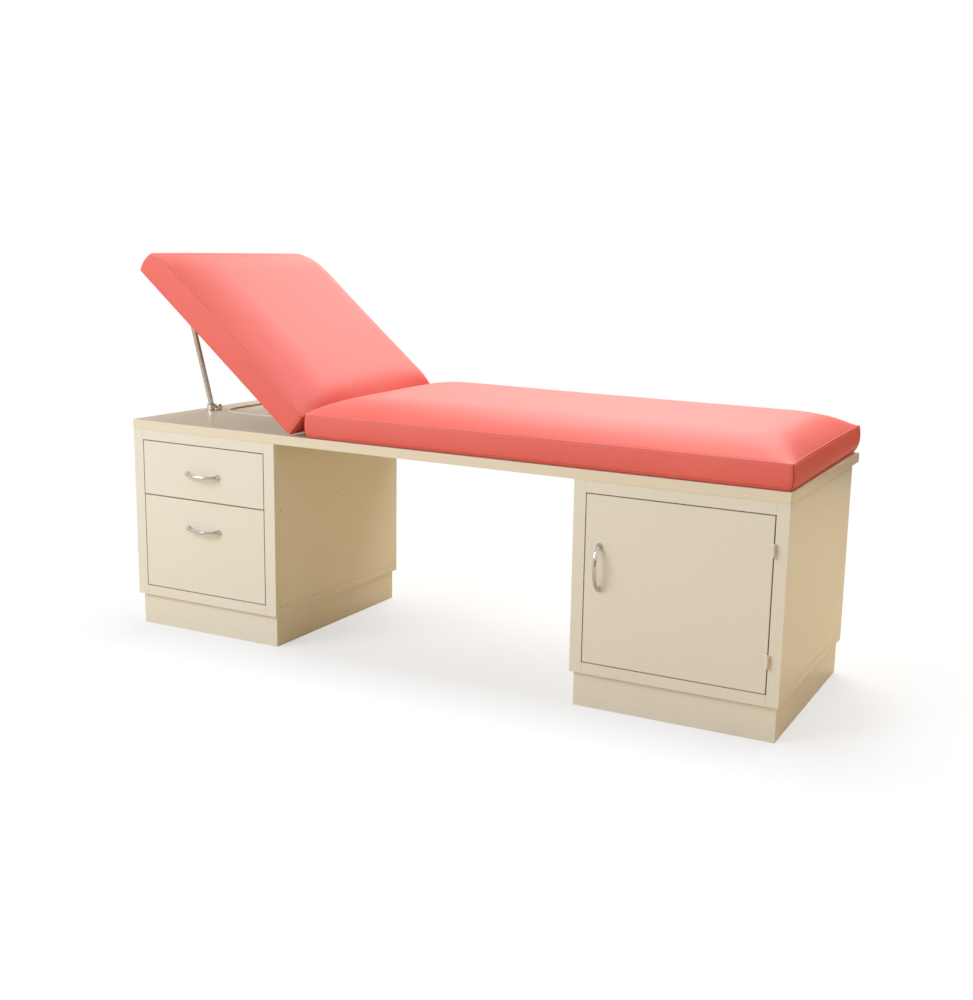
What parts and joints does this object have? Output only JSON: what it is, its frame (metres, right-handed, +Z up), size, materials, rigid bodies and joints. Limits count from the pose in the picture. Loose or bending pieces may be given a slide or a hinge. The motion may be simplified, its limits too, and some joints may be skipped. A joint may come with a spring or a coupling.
{
  "type": "examination table",
  "caption": "Steel pedestal examination table with an upholstered seat, a backrest that tilts on a sliding prop, drawers on one side and a door on the other.",
  "frame": {"origin": "on the floor, under the middle of the whole table's bounding box at rest", "axes": "+X along the table from the backrest end to the foot end, +Y from the drawer fronts to the back, +Z up"},
  "size_m": [1.829, 0.6583, 1.0152],
  "materials": {
    "cream_enamel": "satin",
    "chrome": "polished",
    "zinc": "satin",
    "coral_vinyl": "satin",
    "plywood": "matte"
  },
  "bodies": {
    "table": {"deck_top": "cream_enamel", "deck_well_pan": "cream_enamel", "deck_stiffener_front": "cream_enamel", "deck_stiffener_rear": "cream_enamel", "left_case": "cream_enamel", "left_case_floor": "cream_enamel", "left_face_frame": "cream_enamel", "left_plinth": "cream_enamel", "right_case": "cream_enamel", "right_case_floor": "cream_enamel", "right_face_frame": "cream_enamel", "right_plinth": "cream_enamel", "cabinet_shelf": "cream_enamel", "drawer_divider_rail": "cream_enamel", "door_upper_hinge_frame_leaf": "cream_enamel", "door_upper_hinge_pin": "cream_enamel", "door_lower_hinge_frame_leaf": "cream_enamel", "door_lower_hinge_pin": "cream_enamel", "prop_collar": "chrome", "upper_drawer_left_rail": "zinc", "upper_drawer_right_rail": "zinc", "lower_drawer_left_rail": "zinc", "lower_drawer_right_rail": "zinc", "door_catch": "zinc", "shelf_left_angle": "zinc", "shelf_right_angle": "zinc", "backrest_front_hinge_bracket": "zinc", "backrest_rear_hinge_bracket": "zinc", "backrest_front_hinge_pin": "zinc", "backrest_rear_hinge_pin": "zinc", "prop_guide_tube": "zinc", "seat_pad": "coral_vinyl", "seat_board": "coral_vinyl"},
    "backrest": {"backrest_pad": "coral_vinyl", "backrest_front_rail": "coral_vinyl", "backrest_rear_rail": "coral_vinyl", "backrest_head_rail": "coral_vinyl", "backrest_foot_rail": "coral_vinyl", "backrest_panel": "plywood", "backrest_front_hinge_lug": "zinc", "backrest_rear_hinge_lug": "zinc", "prop_seat_block": "plywood"},
    "prop": {"prop_rod": "chrome", "prop_stop_ring": "zinc"},
    "knob": {"clamp_knob": "chrome"},
    "upper_drawer": {"upper_drawer_front": "cream_enamel", "upper_drawer_box": "cream_enamel", "upper_drawer_pull": "chrome", "upper_drawer_left_runner": "zinc", "upper_drawer_right_runner": "zinc"},
    "lower_drawer": {"lower_drawer_front": "cream_enamel", "lower_drawer_box": "cream_enamel", "lower_drawer_pull": "chrome", "lower_drawer_left_runner": "zinc", "lower_drawer_right_runner": "zinc"},
    "door": {"door_skin": "cream_enamel", "door_liner": "cream_enamel", "door_pull": "chrome", "door_upper_hinge_door_leaf": "cream_enamel", "door_lower_hinge_door_leaf": "cream_enamel"}
  },
  "joints": [
    {"name": "backrest_tilt", "type": "hinge", "parent": "table", "child": "backrest", "pos_m": [-0.3885, 0, 0.5961], "axis": [0, 1, 0], "range_deg": [-39.7, 0]},
    {"name": "prop_slide", "type": "slide", "parent": "table", "child": "prop", "axis": [0.0353, -0.3147, 0.9486], "range_m": [-0.412, 0]},
    {"name": "knob_turn", "type": "hinge", "parent": "table", "child": "knob", "pos_m": [-0.86615, -0.04294, 0.5783], "axis": [0.6428, 0.766, 0], "range_deg": [0, 270]},
    {"name": "upper_drawer_slide", "type": "slide", "parent": "table", "child": "upper_drawer", "axis": [0, -1, 0], "range_m": [0, 0.36]},
    {"name": "lower_drawer_slide", "type": "slide", "parent": "table", "child": "lower_drawer", "axis": [0, -1, 0], "range_m": [0, 0.36]},
    {"name": "door_swing", "type": "hinge", "parent": "table", "child": "door", "pos_m": [0.8813, -0.30555, 0.315], "axis": [0, 0, 1], "range_deg": [0, 160]}
  ],
  "couplings": [
    {"joint": "prop_slide", "follows": "backrest_tilt", "m_per_rad": 0.5939}
  ]
}
